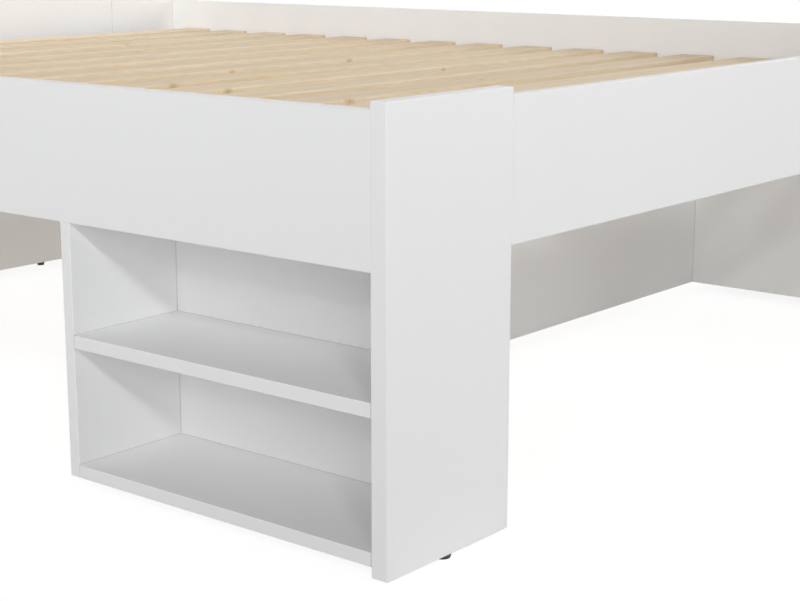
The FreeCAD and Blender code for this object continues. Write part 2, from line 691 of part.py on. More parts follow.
for depth in (HEAD_FACE + " + dowel_inset", BACK_FACE + " - dowel_inset"):
    dowel("headboard_top", "headboard_centre_divider", ("0", depth, BOX_TOP), "-z")
    dowel("headboard_centre_shelf", "headboard_centre_divider", ("0", depth, CENTRE_SHELF_TOP), "+z")

# ---------------------------------------------------------------------------------------------
# Joints: screws and steel brackets of the slat deck and rails
# ---------------------------------------------------------------------------------------------

for side in SIDES:
    ledge = "slat_ledge_" + side
    rail = "side_rail_" + side
    outward = OPPOSITE[INWARD[side]]
    for index in range(SLATS):
        middle = "%s + slat_foot_gap + slat_width / 2 + %d * %s" % (LEG_INNER_FACE, index, SLAT_PITCH)
        head = (line_from_side(side, "(rail_thickness + slat_screw_inset)"), middle,
                SLAT_BOTTOM + " + slat_thickness")
        wood_screw("slat_%02d" % (index + 1), ledge, head, "-z", "slat_thickness")
    spacing = "((%s - 2 * ledge_screw_inset) / (ledge_screw_count - 1))" % INNER_LENGTH
    for index in range(int(SIZES["ledge_screw_count"])):
        head = (line_from_side(side, "(rail_thickness + ledge_width)"),
                "%s + ledge_screw_inset + %d * %s" % (LEG_INNER_FACE, index, spacing),
                LEDGE_BOTTOM + " + wood_screw_head")
        wood_screw(ledge, rail, head, outward, "ledge_width")

    direction = -SIDES[side]
    bracket_z = "(%s + %s) / 2 - bracket_height / 2" % (NICHE_TOP, LEDGE_BOTTOM)
    rail_corner = line_from_side(side, "rail_thickness")
    corner_bracket(rail, "foot_leg_panel_" + side, (rail_corner, LEG_INNER_FACE, bracket_z), direction, 1)
    corner_bracket(rail, "headboard_front_panel_" + side, (rail_corner, HEAD_FACE, bracket_z), direction, -1)
    beam_face = "beam_width / 2" if side == "right" else "-beam_width / 2"
    beam_z = "(%s + %s) / 2 - bracket_height / 2" % (NICHE_TOP, SLAT_BOTTOM)
    corner_bracket("centre_beam", "foot_rail", (beam_face, FOOT_RAIL_INNER_FACE, beam_z), -direction, 1)
    corner_bracket("centre_beam", "headboard_centre_panel", (beam_face, HEAD_FACE, beam_z), -direction, -1)
    cross_panel_tab(rail, "foot_cross_panel", side, FOOT_CROSS_FACE)
    cross_panel_tab(rail, "head_cross_panel", side, HEAD_CROSS_FACE)
    joggled_plate(side)

# ---------------------------------------------------------------------------------------------
# Floor glides under the legs, headboard and post, and a thin pad under each cross panel
# ---------------------------------------------------------------------------------------------

for side in SIDES:
    line = line_from_side(side, "leg_width / 2")
    floor_glide("foot_leg_panel_" + side, line, FOOT_FACE + " + leg_thickness / 2", "glide_height",
                "glide_diameter", "glide_height")
    floor_glide("headboard_front_panel_" + side, line, HEAD_FACE + " + leg_thickness / 2", "glide_height",
                "glide_diameter", "glide_height")
    floor_glide("headboard_back_panel", line, BACK_FACE + " + board_thickness / 2", "glide_height",
                "pad_diameter", "glide_height")
floor_glide("headboard_back_panel", "0", BACK_FACE + " + board_thickness / 2", "glide_height",
            "pad_diameter", "glide_height")
floor_glide("centre_post", "0", POST_Y, "glide_height", "glide_diameter", "glide_height")
for end, face in zip(ENDS, (FOOT_CROSS_FACE, HEAD_CROSS_FACE)):
    floor_glide(end + "_cross_panel", "0", face + " + board_thickness / 2", NICHE_BOTTOM,
                "pad_diameter", "pad_height")

# ---------------------------------------------------------------------------------------------
# The finished pieces, one file each
# ---------------------------------------------------------------------------------------------

finished = []
for name, blank in blanks.items():
    piece = cut_from(name + "_piece", blank, bores[name]) if bores[name] else blank
    finished.append((name, piece))

top_boards = [piece for name, piece in finished if "_niche_top_" in name]
finished = [(name, piece) for name, piece in finished if "_niche_top_" not in name]
groups["niche_top_boards"] = top_boards
for name, members in groups.items():
    gathered = doc.addObject("Part::Compound", name + "_group")
    gathered.Links = members
    finished.append((name, gathered))

doc.recompute()
for name, piece in finished:
    piece.Label = name

failed = [item.Name for item in doc.Objects if "Invalid" in item.State or "Error" in item.State]
if failed:
    raise RuntimeError("failed objects: " + ", ".join(failed))
for name, piece in finished:
    if piece.Shape.isNull() or not piece.Shape.isValid():
        raise RuntimeError("bad shape: " + name)

os.makedirs("parts", exist_ok=True)
for name, piece in finished:
    piece.Shape.exportStep("parts/%s.step" % name)
print("%d nodes, %d solids" % (len(finished), sum(len(piece.Shape.Solids) for name, piece in finished)))
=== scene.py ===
import math

import bpy
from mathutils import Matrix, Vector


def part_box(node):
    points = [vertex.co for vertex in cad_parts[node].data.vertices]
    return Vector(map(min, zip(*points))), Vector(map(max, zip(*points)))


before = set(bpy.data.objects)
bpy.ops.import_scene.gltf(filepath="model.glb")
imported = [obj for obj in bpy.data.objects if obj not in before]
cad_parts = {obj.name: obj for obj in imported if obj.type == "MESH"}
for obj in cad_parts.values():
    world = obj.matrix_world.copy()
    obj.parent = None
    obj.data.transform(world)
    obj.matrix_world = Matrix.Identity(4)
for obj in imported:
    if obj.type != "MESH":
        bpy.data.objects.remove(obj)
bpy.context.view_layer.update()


# ---- Viewpoint ---------------------------------------------------------------------------------------
# A long lens a little above the mattress line, off the foot corner on the bed's left.
# The yaw is measured from the bed's width direction, the pitch is downwards.
scene = bpy.context.scene
scene.view_settings.view_transform = "Standard"
yaw = math.radians(39.171)
pitch = math.radians(12.551)
lens = bpy.data.cameras.new("foot_corner_view")
lens.sensor_fit = "HORIZONTAL"
lens.sensor_width = 36.0
lens.lens = 75.41
lens.clip_end = 200.0
camera = bpy.data.objects.new("foot_corner_view", lens)
camera.location = (-2.05786, -2.17625, 0.65791)
camera.rotation_euler = (math.pi / 2 - pitch, 0.0, yaw - math.pi / 2)
scene.collection.objects.link(camera)
scene.camera = camera


# ---- Studio floor and light --------------------------------------------------------------------------
# A plain white studio: an even white sky, wide softboxes set well back round the bed, soft spotlights on
# the headboard and the far rail, and a floor that stays white to the eye and keeps the bed's soft shadow.
def join(tree, value, socket):
    """Puts a plain value on a socket, or runs a wire to it when the value is another node's output."""
    if isinstance(value, bpy.types.NodeSocket):
        tree.links.new(value, socket)
    else:
        socket.default_value = value


def reckon(tree, operation, *terms, clamp=False):
    """One sum on numbers, named as Blender names it, and its answer."""
    node = tree.nodes.new("ShaderNodeMath")
    node.operation = operation
    node.use_clamp = clamp
    for place, term in enumerate(terms):
        join(tree, term, node.inputs[place])
    return node.outputs[0]


def direct_rays(tree):
    """1 for what the eye sees straight, in a gloss or through glass, and 0 for light on its way."""
    path = tree.nodes.new("ShaderNodeLightPath")
    eye_or_gloss = reckon(tree, "MAXIMUM", path.outputs["Is Camera Ray"], path.outputs["Is Glossy Ray"])
    return reckon(tree, "MAXIMUM", eye_or_gloss, path.outputs["Is Transmission Ray"])


SKY_LIGHT = 0.200
SKY_SEEN = 1.0
PLAIN_WHITE = (1.0, 1.0, 1.0, 1.0)
world = bpy.data.worlds.new("white_studio")
world.use_nodes = True
sky = world.node_tree
sky.nodes.clear()
sky_output = sky.nodes.new("ShaderNodeOutputWorld")
sky_mix = sky.nodes.new("ShaderNodeMixShader")
lighting = sky.nodes.new("ShaderNodeBackground")
lighting.inputs["Color"].default_value = PLAIN_WHITE
lighting.inputs["Strength"].default_value = SKY_LIGHT
backdrop = sky.nodes.new("ShaderNodeBackground")
backdrop.inputs["Color"].default_value = PLAIN_WHITE
backdrop.inputs["Strength"].default_value = SKY_SEEN
join(sky, direct_rays(sky), sky_mix.inputs[0])
join(sky, lighting.outputs[0], sky_mix.inputs[1])
join(sky, backdrop.outputs[0], sky_mix.inputs[2])
join(sky, sky_mix.outputs[0], sky_output.inputs["Surface"])
scene.world = world


def lamp_at(name, kind, place, aim, watts):
    """A lamp that faces the point it is aimed at."""
    lamp = bpy.data.lights.new(name, kind)
    lamp.energy = watts
    holder = bpy.data.objects.new(name, lamp)
    holder.location = place
    ahead = [goal - start for goal, start in zip(aim, place)]
    flat = math.hypot(ahead[0], ahead[1])
    holder.rotation_euler = (math.atan2(flat, -ahead[2]), 0.0, math.atan2(ahead[1], ahead[0]) - math.pi / 2)
    holder.visible_camera = False
    scene.collection.objects.link(holder)
    return lamp


def softbox(name, place, aim, width, height, watts):
    """A soft lamp of that width and height."""
    lamp = lamp_at(name, "AREA", place, aim, watts)
    lamp.shape = "RECTANGLE"
    lamp.size = width
    lamp.size_y = height


COOL_WHITE = (0.965, 0.985, 1.0)


def spotlight(name, place, aim, cone, width, watts):
    """A slightly cool lamp with a soft-edged round beam, its cone in degrees, its own width in metres."""
    lamp = lamp_at(name, "SPOT", place, aim, watts)
    lamp.color = COOL_WHITE
    lamp.spot_size = math.radians(cone)
    lamp.spot_blend = 1.0
    lamp.shadow_soft_size = width / 2


softbox("foot_corner_softbox", (-9.6, -9.5, 2.0), (0.0, 0.0, 0.3), width=9.0, height=3.4, watts=290.0)
softbox("left_softbox", (-10.8, -2.5, 6.6), (0.0, 0.0, 0.3), width=6.0, height=6.0, watts=272.0)
softbox("foot_right_softbox", (9.5, -9.5, 4.0), (0.0, 0.0, 0.4), width=8.0, height=8.0, watts=480.0)
softbox("right_softbox", (11.6, -1.0, 7.0), (0.0, 0.0, 0.4), width=8.0, height=8.0, watts=480.0)
softbox("head_softbox", (3.0, 13.1, 4.0), (0.0, 0.0, 0.4), width=8.0, height=8.0, watts=560.0)
spotlight("headboard_spotlight", (-7.5, -9.0, 6.5), (0.35, 0.873, 0.5), cone=15.0, width=1.6, watts=2950.0)
spotlight("far_rail_spotlight", (-9.0, -5.0, 5.0), (0.8, -0.5, 0.45), cone=12.0, width=1.6, watts=700.0)

FLOOR_HALF = 60.0
FLOOR_BOUNCE = 0.95
FLOOR_SHADE = 0.26
FLOOR_GLOW = 0.875
floor_sheet = bpy.data.meshes.new("studio_floor")
floor_sheet.from_pydata(
    [(-FLOOR_HALF, -FLOOR_HALF, 0.0), (FLOOR_HALF, -FLOOR_HALF, 0.0), (FLOOR_HALF, FLOOR_HALF, 0.0),
     (-FLOOR_HALF, FLOOR_HALF, 0.0)], [], [(0, 1, 2, 3)])
studio_floor = bpy.data.objects.new("studio_floor", floor_sheet)
scene.collection.objects.link(studio_floor)
floor_paint = bpy.data.materials.new("studio_floor")
floor_paint.use_nodes = True
paint = floor_paint.node_tree
paint.nodes.clear()
paint_output = paint.nodes.new("ShaderNodeOutputMaterial")
paint_sum = paint.nodes.new("ShaderNodeAddShader")
matt = paint.nodes.new("ShaderNodeBsdfDiffuse")
glow = paint.nodes.new("ShaderNodeEmission")
seen_straight = direct_rays(paint)
floor_tone = reckon(paint, "MULTIPLY_ADD", seen_straight, FLOOR_SHADE - FLOOR_BOUNCE, FLOOR_BOUNCE)
join(paint, floor_tone, matt.inputs["Color"])
join(paint, reckon(paint, "MULTIPLY", seen_straight, FLOOR_GLOW), glow.inputs["Strength"])
join(paint, matt.outputs[0], paint_sum.inputs[0])
join(paint, glow.outputs[0], paint_sum.inputs[1])
join(paint, paint_sum.outputs[0], paint_output.inputs["Surface"])
floor_sheet.materials.append(floor_paint)


# ---- Foot leg boards ---------------------------------------------------------------------------------
# The two 22 mm boards at the foot corners: chipboard faced with white melamine, with a white plastic
# band glued round every cut edge. Blind dowels and steel brackets hold them, so no screw shows outside.
def vectors(tree, operation, *terms, answer="Vector"):
    """One sum on directions or places, and its answer."""
    node = tree.nodes.new("ShaderNodeVectorMath")
    node.operation = operation
    for place, term in enumerate(terms):
        join(tree, term, node.inputs[place])
    return node.outputs[answer]


def grains(tree, place, scale, detail=2.0, roughness=0.5):
    """Cloudy noise from 0 to 1 at a place, with so many lumps in a metre."""
    node = tree.nodes.new("ShaderNodeTexNoise")
    join(tree, place, node.inputs["Vector"])
    node.inputs["Scale"].default_value = scale
    node.inputs["Detail"].default_value = detail
    node.inputs["Roughness"].default_value = roughness
    return node.outputs["Fac"]


def fade(tree, value, full, gone):
    """1 where the value is at full, 0 where it is at gone, and an eased slope between them."""
    node = tree.nodes.new("ShaderNodeMapRange")
    node.interpolation_type = "SMOOTHSTEP"
    join(tree, value, node.inputs["Value"])
    node.inputs["From Min"].default_value = full
    node.inputs["From Max"].default_value = gone
    node.inputs["To Min"].default_value = 1.0
    node.inputs["To Max"].default_value = 0.0
    return node.outputs["Result"]


def tint(tree, share, first, second):
    """The first colour, changed to the second by the share."""
    node = tree.nodes.new("ShaderNodeMix")
    node.data_type = "RGBA"
    join(tree, share, node.inputs["Factor"])
    join(tree, first, node.inputs["A"])
    join(tree, second, node.inputs["B"])
    return node.outputs["Result"]


def effect(name, inputs, outputs):
    """An empty shader group with named inputs and outputs, each given as (name, kind)."""
    tree = bpy.data.node_groups.new(name, "ShaderNodeTree")
    for label, kind in inputs:
        tree.interface.new_socket(label, in_out="INPUT", socket_type="NodeSocket" + kind)
    for label, kind in outputs:
        tree.interface.new_socket(label, in_out="OUTPUT", socket_type="NodeSocket" + kind)
    return tree, tree.nodes.new("NodeGroupInput").outputs, tree.nodes.new("NodeGroupOutput").inputs


# Where a board's glued edge band shows: how far a point is from the board's nearest arris is the middle
# one of its three distances to the board's faces.
BAND_THICKNESS = 0.0009
SEAM_SOLID = 0.00005
SEAM_GONE = 0.00022
ARRIS_HIGHLIGHT_FULL = 0.0005
ARRIS_HIGHLIGHT_GONE = 0.0018
HIGHLIGHT_BREAKUP_LUMPS = 35.0
HIGHLIGHT_BREAKUP_LEAST = 0.4
band, seen, shown = effect(
    "edge_band",
    [("Place", "Vector"), ("Low corner", "Vector"), ("High corner", "Vector"), ("Through", "Vector")],
    [("Seam", "Float"), ("Arris", "Float"), ("Cut edge", "Float")])
from_low = vectors(band, "SUBTRACT", seen["Place"], seen["Low corner"])
from_high = vectors(band, "SUBTRACT", seen["High corner"], seen["Place"])
gaps = band.nodes.new("ShaderNodeSeparateXYZ")
join(band, vectors(band, "MINIMUM", from_low, from_high), gaps.inputs[0])
lesser = reckon(band, "MINIMUM", gaps.outputs["X"], gaps.outputs["Y"])
greater = reckon(band, "MAXIMUM", gaps.outputs["X"], gaps.outputs["Y"])
to_arris = reckon(band, "MAXIMUM", lesser, reckon(band, "MINIMUM", greater, gaps.outputs["Z"]))
band_surface = band.nodes.new("ShaderNodeNewGeometry")
facing = vectors(band, "DOT_PRODUCT", band_surface.outputs["Normal"], seen["Through"], answer="Value")
through_board = reckon(band, "ABSOLUTE", facing)
off_seam = reckon(band, "ABSOLUTE", reckon(band, "SUBTRACT", to_arris, BAND_THICKNESS))
seam_line = reckon(band, "MULTIPLY", fade(band, off_seam, SEAM_SOLID, SEAM_GONE), through_board)
# A painted highlight: a thin line along each arris, lighter than the face and broken up by slow lumps,
# stands in for light caught on the rounded edge.
highlight_lumps = grains(band, seen["Place"], HIGHLIGHT_BREAKUP_LUMPS, detail=3.0)
highlight_breakup = reckon(band, "MULTIPLY_ADD", highlight_lumps, 1.0 - HIGHLIGHT_BREAKUP_LEAST, HIGHLIGHT_BREAKUP_LEAST)
painted_arris_highlight = reckon(band, "MULTIPLY", fade(band, to_arris, ARRIS_HIGHLIGHT_FULL, ARRIS_HIGHLIGHT_GONE), highlight_breakup)
join(band, seam_line, shown["Seam"])
join(band, painted_arris_highlight, shown["Arris"])
join(band, reckon(band, "SUBTRACT", 1.0, through_board, clamp=True), shown["Cut edge"])

# Where two boards meet, a painted hairline shadow shows on each of them beside the box that the other
# fills. The arris there is shut in the joint, so it gets no painted highlight.
LINE_SOLID = 0.0004
LINE_GONE = 0.0011
SHUT_FULL = 0.0022
SHUT_GONE = 0.0040
joint, seen, shown = effect(
    "painted_joint_shadow",
    [("Place", "Vector"), ("Low corner", "Vector"), ("High corner", "Vector"),
     ("Line", "Float"), ("Shut", "Float")],
    [("Line", "Float"), ("Shut", "Float")])
below = vectors(joint, "SUBTRACT", seen["Low corner"], seen["Place"])
above = vectors(joint, "SUBTRACT", seen["Place"], seen["High corner"])
outside = vectors(joint, "MAXIMUM", vectors(joint, "MAXIMUM", below, above), (0.0, 0.0, 0.0))
away = vectors(joint, "LENGTH", outside, answer="Value")
join(joint, reckon(joint, "MAXIMUM", fade(joint, away, LINE_SOLID, LINE_GONE), seen["Line"]), shown["Line"])
join(joint, reckon(joint, "MAXIMUM", fade(joint, away, SHUT_FULL, SHUT_GONE), seen["Shut"]), shown["Shut"])

# The pressed skin of the melamine: a fine pearl of about a millimetre, slow waves of the board under it,
# and the dull patches that wiping leaves.
PEARL_LUMPS = 820.0
PEARL_HEIGHT = 0.35
WAVE_LUMPS = 42.0
WAVE_HEIGHT = 0.9
TONE_LUMPS = 2.6
WIPED_LUMPS = 9.0
skin, seen, shown = effect("melamine_skin", [("Place", "Vector")],
                           [("Tone", "Float"), ("Relief", "Float"), ("Wiped", "Float")])
pearls = grains(skin, seen["Place"], PEARL_LUMPS, detail=1.5, roughness=0.45)
pearl = reckon(skin, "MULTIPLY", pearls, PEARL_HEIGHT)
board_waves = grains(skin, seen["Place"], WAVE_LUMPS)
join(skin, reckon(skin, "MULTIPLY_ADD", board_waves, WAVE_HEIGHT, pearl), shown["Relief"])
join(skin, grains(skin, seen["Place"], TONE_LUMPS, detail=4.0, roughness=0.6), shown["Tone"])
join(skin, grains(skin, seen["Place"], WIPED_LUMPS, detail=5.0, roughness=0.62), shown["Wiped"])

WHITE_FACE = (0.918, 0.918, 0.916, 1.0)
WHITE_FACE_DEEP = (0.908, 0.908, 0.905, 1.0)
WHITE_BAND = (0.906, 0.906, 0.903, 1.0)
SEAM_GREY = (0.600, 0.598, 0.590, 1.0)
ARRIS_HIGHLIGHT_WHITE = (0.975, 0.975, 0.973, 1.0)
JOINT_SHADOW_GREY = (0.430, 0.425, 0.415, 1.0)
SEAM_SHADE = 0.5
SEAM_DEPTH = 1.5
MELAMINE_GLOSS = 0.25
MELAMINE_DULL = 0.36
WIPED_DULL = 0.16
BAND_SMOOTHER = 0.06
PEARL_DEPTH = 0.00003
TOUCHING = 0.0003
# The four niche top boards share one node, whose box is no single board's, so they are left out here.
boards = {name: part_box(name) for name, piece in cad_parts.items()
          if piece.data.materials[0].name == "white_laminate" and name != "niche_top_boards"}


def new_finish(name):
    """A material with a principled surface, the surface's node, and the object's own coordinates."""
    made = bpy.data.materials.new(name)
    made.use_nodes = True
    tree = made.node_tree
    surface = tree.nodes["Principled BSDF"]
    place = tree.nodes.new("ShaderNodeTexCoord").outputs["Object"]
    return made, tree, surface, place


def use(tree, name, **values):
    """Places one of the effect groups in a material, with its values under their own names."""
    node = tree.nodes.new("ShaderNodeGroup")
    node.node_tree = bpy.data.node_groups[name]
    for label, value in values.items():
        join(tree, value, node.inputs[label.replace("_", " ")])
    return node.outputs


def relief(tree, height, depth, surface):
    """Turns a height of 0 to 1 into bumps of that depth in metres."""
    bump = tree.nodes.new("ShaderNodeBump")
    bump.inputs["Distance"].default_value = depth
    bump.inputs["Strength"].default_value = 1.0
    join(tree, height, bump.inputs["Height"])
    join(tree, bump.outputs["Normal"], surface.inputs["Normal"])


def neighbours(node_name):
    """The corners of each other board that lies against this one."""
    low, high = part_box(node_name)
    for other, (other_low, other_high) in boards.items():
        gap = max(max(other_low[axis] - high[axis], low[axis] - other_high[axis]) for axis in range(3))
        if other != node_name and abs(gap) < TOUCHING:
            yield other_low, other_high


def melamine(node_name, joint_shade):
    """White melamine on one board, with its edge band measured from that board's own corners."""
    low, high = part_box(node_name)
    size = high - low
    thin = min(range(3), key=lambda axis: size[axis])
    through = tuple(1.0 if axis == thin else 0.0 for axis in range(3))
    made, tree, surface, place = new_finish("white_melamine_" + node_name)
    edge = use(tree, "edge_band", Place=place, Low_corner=low, High_corner=high, Through=through)
    face = use(tree, "melamine_skin", Place=place)
    line = shut = 0.0
    for next_low, next_high in neighbours(node_name):
        meeting = use(tree, "painted_joint_shadow", Place=place, Low_corner=next_low, High_corner=next_high,
                      Line=line, Shut=shut)
        line = meeting["Line"]
        shut = meeting["Shut"]
    colour = tint(tree, face["Tone"], WHITE_FACE_DEEP, WHITE_FACE)
    colour = tint(tree, edge["Cut edge"], colour, WHITE_BAND)
    # The painted arris highlight, left off where a joint shuts the arris.
    open_arris_highlight = reckon(tree, "MULTIPLY", edge["Arris"], reckon(tree, "SUBTRACT", 1.0, shut))
    colour = tint(tree, open_arris_highlight, colour, ARRIS_HIGHLIGHT_WHITE)
    colour = tint(tree, reckon(tree, "MULTIPLY", edge["Seam"], SEAM_SHADE), colour, SEAM_GREY)
    # The painted hairline shadow beside each board that this one meets.
    colour = tint(tree, reckon(tree, "MULTIPLY", line, joint_shade), colour, JOINT_SHADOW_GREY)
    join(tree, colour, surface.inputs["Base Color"])
    surface.inputs["Specular IOR Level"].default_value = MELAMINE_GLOSS
    dull = reckon(tree, "MULTIPLY_ADD", face["Wiped"], WIPED_DULL, MELAMINE_DULL)
    roughness = reckon(tree, "MULTIPLY_ADD", edge["Cut edge"], -BAND_SMOOTHER, dull)
    join(tree, roughness, surface.inputs["Roughness"])
    grooved = reckon(tree, "MULTIPLY_ADD", edge["Seam"], -SEAM_DEPTH, face["Relief"])
    relief(tree, grooved, PEARL_DEPTH, surface)
    return made


# Strengths of the painted joint shadow.
PLAIN_JOINT_SHADOW = 0.36
FAINT_JOINT_SHADOW = 0.04


def finish_board(node_name, joint_shade=PLAIN_JOINT_SHADOW):
    """Puts white melamine on every slot of a board that the solid model already has."""
    made = melamine(node_name, joint_shade)
    for place in range(len(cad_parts[node_name].data.materials)):
        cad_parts[node_name].data.materials[place] = made


for side in ("left", "right"):
    finish_board("foot_leg_panel_" + side, FAINT_JOINT_SHADOW)


# ---- Foot rail and side rails ------------------------------------------------------------------------
# 16 mm melamine boards on edge. The foot rail sits between the legs, the side rails run to the headboard.
# Their brackets draw them tight, so their joints with the legs get only a faint painted shadow.
finish_board("foot_rail", FAINT_JOINT_SHADOW)
for side in ("left", "right"):
    finish_board("side_rail_" + side, FAINT_JOINT_SHADOW)


# ---- Cross panels ------------------------------------------------------------------------------------
# Two 16 mm boards across the whole bed. Each is also the side of the open niches at its ends.
for panel in ("foot_cross_panel", "head_cross_panel"):
    finish_board(panel)


# ---- Niches under the side rails ---------------------------------------------------------------------
# At each corner a bottom board, a middle shelf and a back of 16 mm melamine, and top boards behind
# the rails. Each is doweled into the thicker board at one end and screwed through the cross panel.
for end in ("foot", "head"):
    for side in ("left", "right"):
        for board in ("bottom", "shelf", "back"):
            finish_board(f"{end}_niche_{board}_{side}")
finish_board("niche_top_boards")


# ---- Headboard bookcase ------------------------------------------------------------------------------
# Two side towers with shelves, a closed panel behind the mattress with two open compartments over it,
# one back panel and a 22 mm top, all in the same melamine.
for side in ("left", "right"):
    finish_board("headboard_front_panel_" + side)
    finish_board("headboard_inner_side_" + side)
    for level in (1, 2, 3):
        finish_board(f"tower_shelf_{level}_{side}")
for board in ("centre_panel", "centre_shelf", "centre_divider", "back_panel", "top"):
    finish_board("headboard_" + board)


# ---- Slats -------------------------------------------------------------------------------------------
# Sixteen sanded pine slats of 70 x 18 mm lie across the bed on the ledges. Flat-sawn, so the growth
# rings run out in long streaks, with a few small knots; unlacquered, pale and matt.
SLAT_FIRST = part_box("slat_01")[0].y
SLAT_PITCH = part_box("slat_02")[0].y - SLAT_FIRST
SLAT_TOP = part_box("slat_01")[1].z
PINE_PALE = (0.885, 0.748, 0.560, 1.0)
PINE_LATE = (0.755, 0.550, 0.325, 1.0)
PINE_FLUSH = (0.850, 0.685, 0.482, 1.0)
KNOT_RING = (0.740, 0.565, 0.360, 1.0)
KNOT_HEART = (0.630, 0.450, 0.255, 1.0)
RING_WIDTH = 0.0036
SLAT_COUNT = 16
# Knots as (x, slat, y and z from the slat's front top arris, radius), the first seven where the
# photograph shows one.
KNOTS = (
    (-0.246, 8, 0.001, -0.004, 0.0055),
    (-0.249, 7, 0.000, -0.006, 0.0055),
    (-0.253, 5, 0.001, -0.004, 0.0060),
    (0.008, 9, 0.000, -0.007, 0.0045),
    (0.317, 9, 0.000, -0.006, 0.0052),
    (0.283, 7, 0.000, -0.008, 0.0045),
    (0.322, 14, 0.006, 0.000, 0.0060),
    (0.540, 2, 0.030, 0.000, 0.0060),
    (-0.520, 3, 0.048, 0.000, 0.0050),
    (0.120, 5, 0.042, 0.000, 0.0045),
    (-0.610, 10, 0.022, 0.000, 0.0065),
    (0.610, 11, 0.050, 0.000, 0.0055),
    (-0.090, 12, 0.036, 0.000, 0.0060),
    (-0.430, 14, 0.055, 0.000, 0.0050),
    (0.060, 16, 0.020, 0.000, 0.0065),
    (-0.700, 6, 0.034, 0.000, 0.0050),
)

# Pine with its length along x: each ring's distance from the heart of the tree, which lies under the
# board, drifts slowly along the length; late wood is the narrow dark part of each ring.
PIECE_SHIFT = 37.0
HEART_SPREAD = 0.110
HEART_DEPTH = 0.018
HEART_DEPTH_SPREAD = 0.055
RING_DRIFT = 0.034
DRIFT_LUMPS = 1.3
STRENGTH_LUMPS = 6.0
KNOT_BEND = 0.006
LATE_NARROWNESS = 2.6
pine, seen, shown = effect(
    "pine_grain",
    [("Place", "Vector"), ("Piece", "Float"), ("Bent", "Float")],
    [("Late wood", "Float"), ("Fibre", "Float"), ("Flush", "Float"), ("Piece tone", "Float")])
chance = pine.nodes.new("ShaderNodeTexWhiteNoise")
chance.noise_dimensions = "1D"
join(pine, seen["Piece"], chance.inputs["W"])
draws = pine.nodes.new("ShaderNodeSeparateColor")
join(pine, chance.outputs["Color"], draws.inputs[0])
parts = pine.nodes.new("ShaderNodeSeparateXYZ")
join(pine, seen["Place"], parts.inputs[0])
apart = reckon(pine, "MULTIPLY_ADD", draws.outputs["Red"], PIECE_SHIFT, parts.outputs["X"])


def run_out(lengthwise, crosswise):
    """The place in the wood, squeezed along and across, so that noise on it runs out in long streaks."""
    squeezed = pine.nodes.new("ShaderNodeCombineXYZ")
    join(pine, reckon(pine, "MULTIPLY", apart, lengthwise), squeezed.inputs["X"])
    for axis in ("Y", "Z"):
        join(pine, reckon(pine, "MULTIPLY", parts.outputs[axis], crosswise), squeezed.inputs[axis])
    return squeezed.outputs[0]


streamed = run_out(lengthwise=0.9, crosswise=9.0)
drift = grains(pine, streamed, DRIFT_LUMPS)
heart_y = reckon(pine, "MULTIPLY_ADD", draws.outputs["Green"], HEART_SPREAD, -HEART_SPREAD / 2)
heart_z = reckon(pine, "MULTIPLY_ADD", draws.outputs["Blue"], HEART_DEPTH_SPREAD, HEART_DEPTH)
across = reckon(pine, "SUBTRACT", parts.outputs["Y"], heart_y)
under = reckon(pine, "ADD", parts.outputs["Z"], heart_z)
under_squared = reckon(pine, "MULTIPLY", under, under)
from_heart = reckon(pine, "SQRT", reckon(pine, "MULTIPLY_ADD", across, across, under_squared))
round_knots = reckon(pine, "MULTIPLY_ADD", seen["Bent"], KNOT_BEND, from_heart)
wandering = reckon(pine, "MULTIPLY_ADD", drift, RING_DRIFT, round_knots)
turn = reckon(pine, "MULTIPLY", wandering, 2.0 * math.pi / RING_WIDTH)
wave = reckon(pine, "MULTIPLY_ADD", reckon(pine, "SINE", turn), 0.5, 0.5)
ring_strength = grains(pine, streamed, STRENGTH_LUMPS, detail=3.0)
late_part = reckon(pine, "POWER", wave, LATE_NARROWNESS)
join(pine, reckon(pine, "MULTIPLY", late_part, ring_strength), shown["Late wood"])
fibres = run_out(lengthwise=7.0, crosswise=620.0)
join(pine, grains(pine, fibres, scale=1.0, detail=3.0, roughness=0.6), shown["Fibre"])
flushes = run_out(lengthwise=1.1, crosswise=60.0)
join(pine, grains(pine, flushes, scale=1.0), shown["Flush"])
join(pine, draws.outputs["Red"], shown["Piece tone"])

PINE_GLOSS = 0.2
PINE_DULL = 0.56
FIBRE_DULL = 0.14
GRAIN_DEPTH = 0.00012
LATE_WOOD_RELIEF = 0.6
LATE_WOOD_SHARE = 0.95
FIBRE_SHARE = 0.22
STREAK_SHADE = 0.62
FLUSH_FULL = 0.68
FLUSH_GONE = 0.42
PIECE_TONE_LEAST = 0.955
PIECE_TONE_SPREAD = 0.07
# Distances from a knot's middle, counted in its own radius.
KNOT_HEART_FULL = 0.15
KNOT_HEART_GONE = 0.85
KNOT_RING_FULL = 0.75
KNOT_RING_GONE = 1.6
BENT_FULL = 0.8
BENT_GONE = 4.5
NO_KNOT = 99.0


